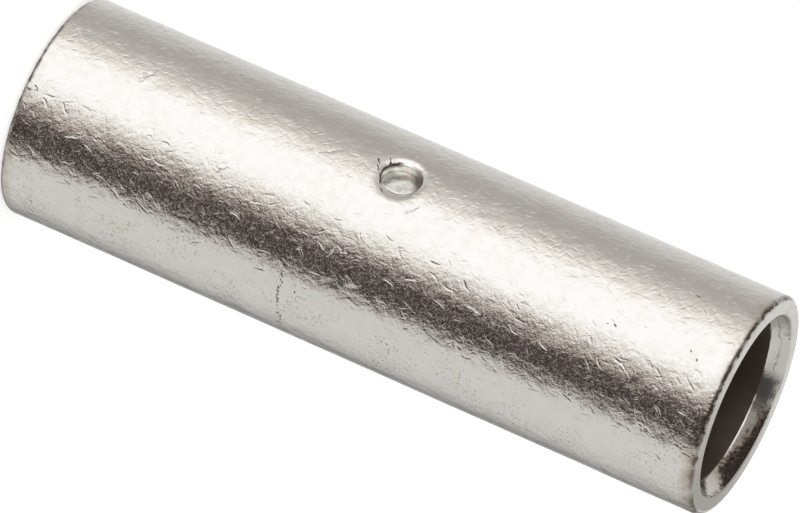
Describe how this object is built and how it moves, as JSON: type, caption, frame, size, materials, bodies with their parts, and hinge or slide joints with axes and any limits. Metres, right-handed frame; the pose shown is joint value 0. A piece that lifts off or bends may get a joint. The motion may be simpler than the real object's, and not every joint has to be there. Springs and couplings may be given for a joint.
{
  "type": "compression splice",
  "caption": "Tin-plated copper tube that joins stranded conductors end to end; a punched wire stop at mid-length, a lead-in at each mouth.",
  "frame": {"origin": "centre of the tube's foot, on the surface that it stands on", "axes": "+Z along the tube's axis, up through the upper mouth; -Y out through the recess of the wire stop"},
  "size_m": [0.021, 0.021, 0.07],
  "materials": {
    "tinned_copper": "worn satin tin plating with fine nicks"
  },
  "bodies": {
    "root": {"sleeve": "tinned_copper"}
  },
  "joints": []
}
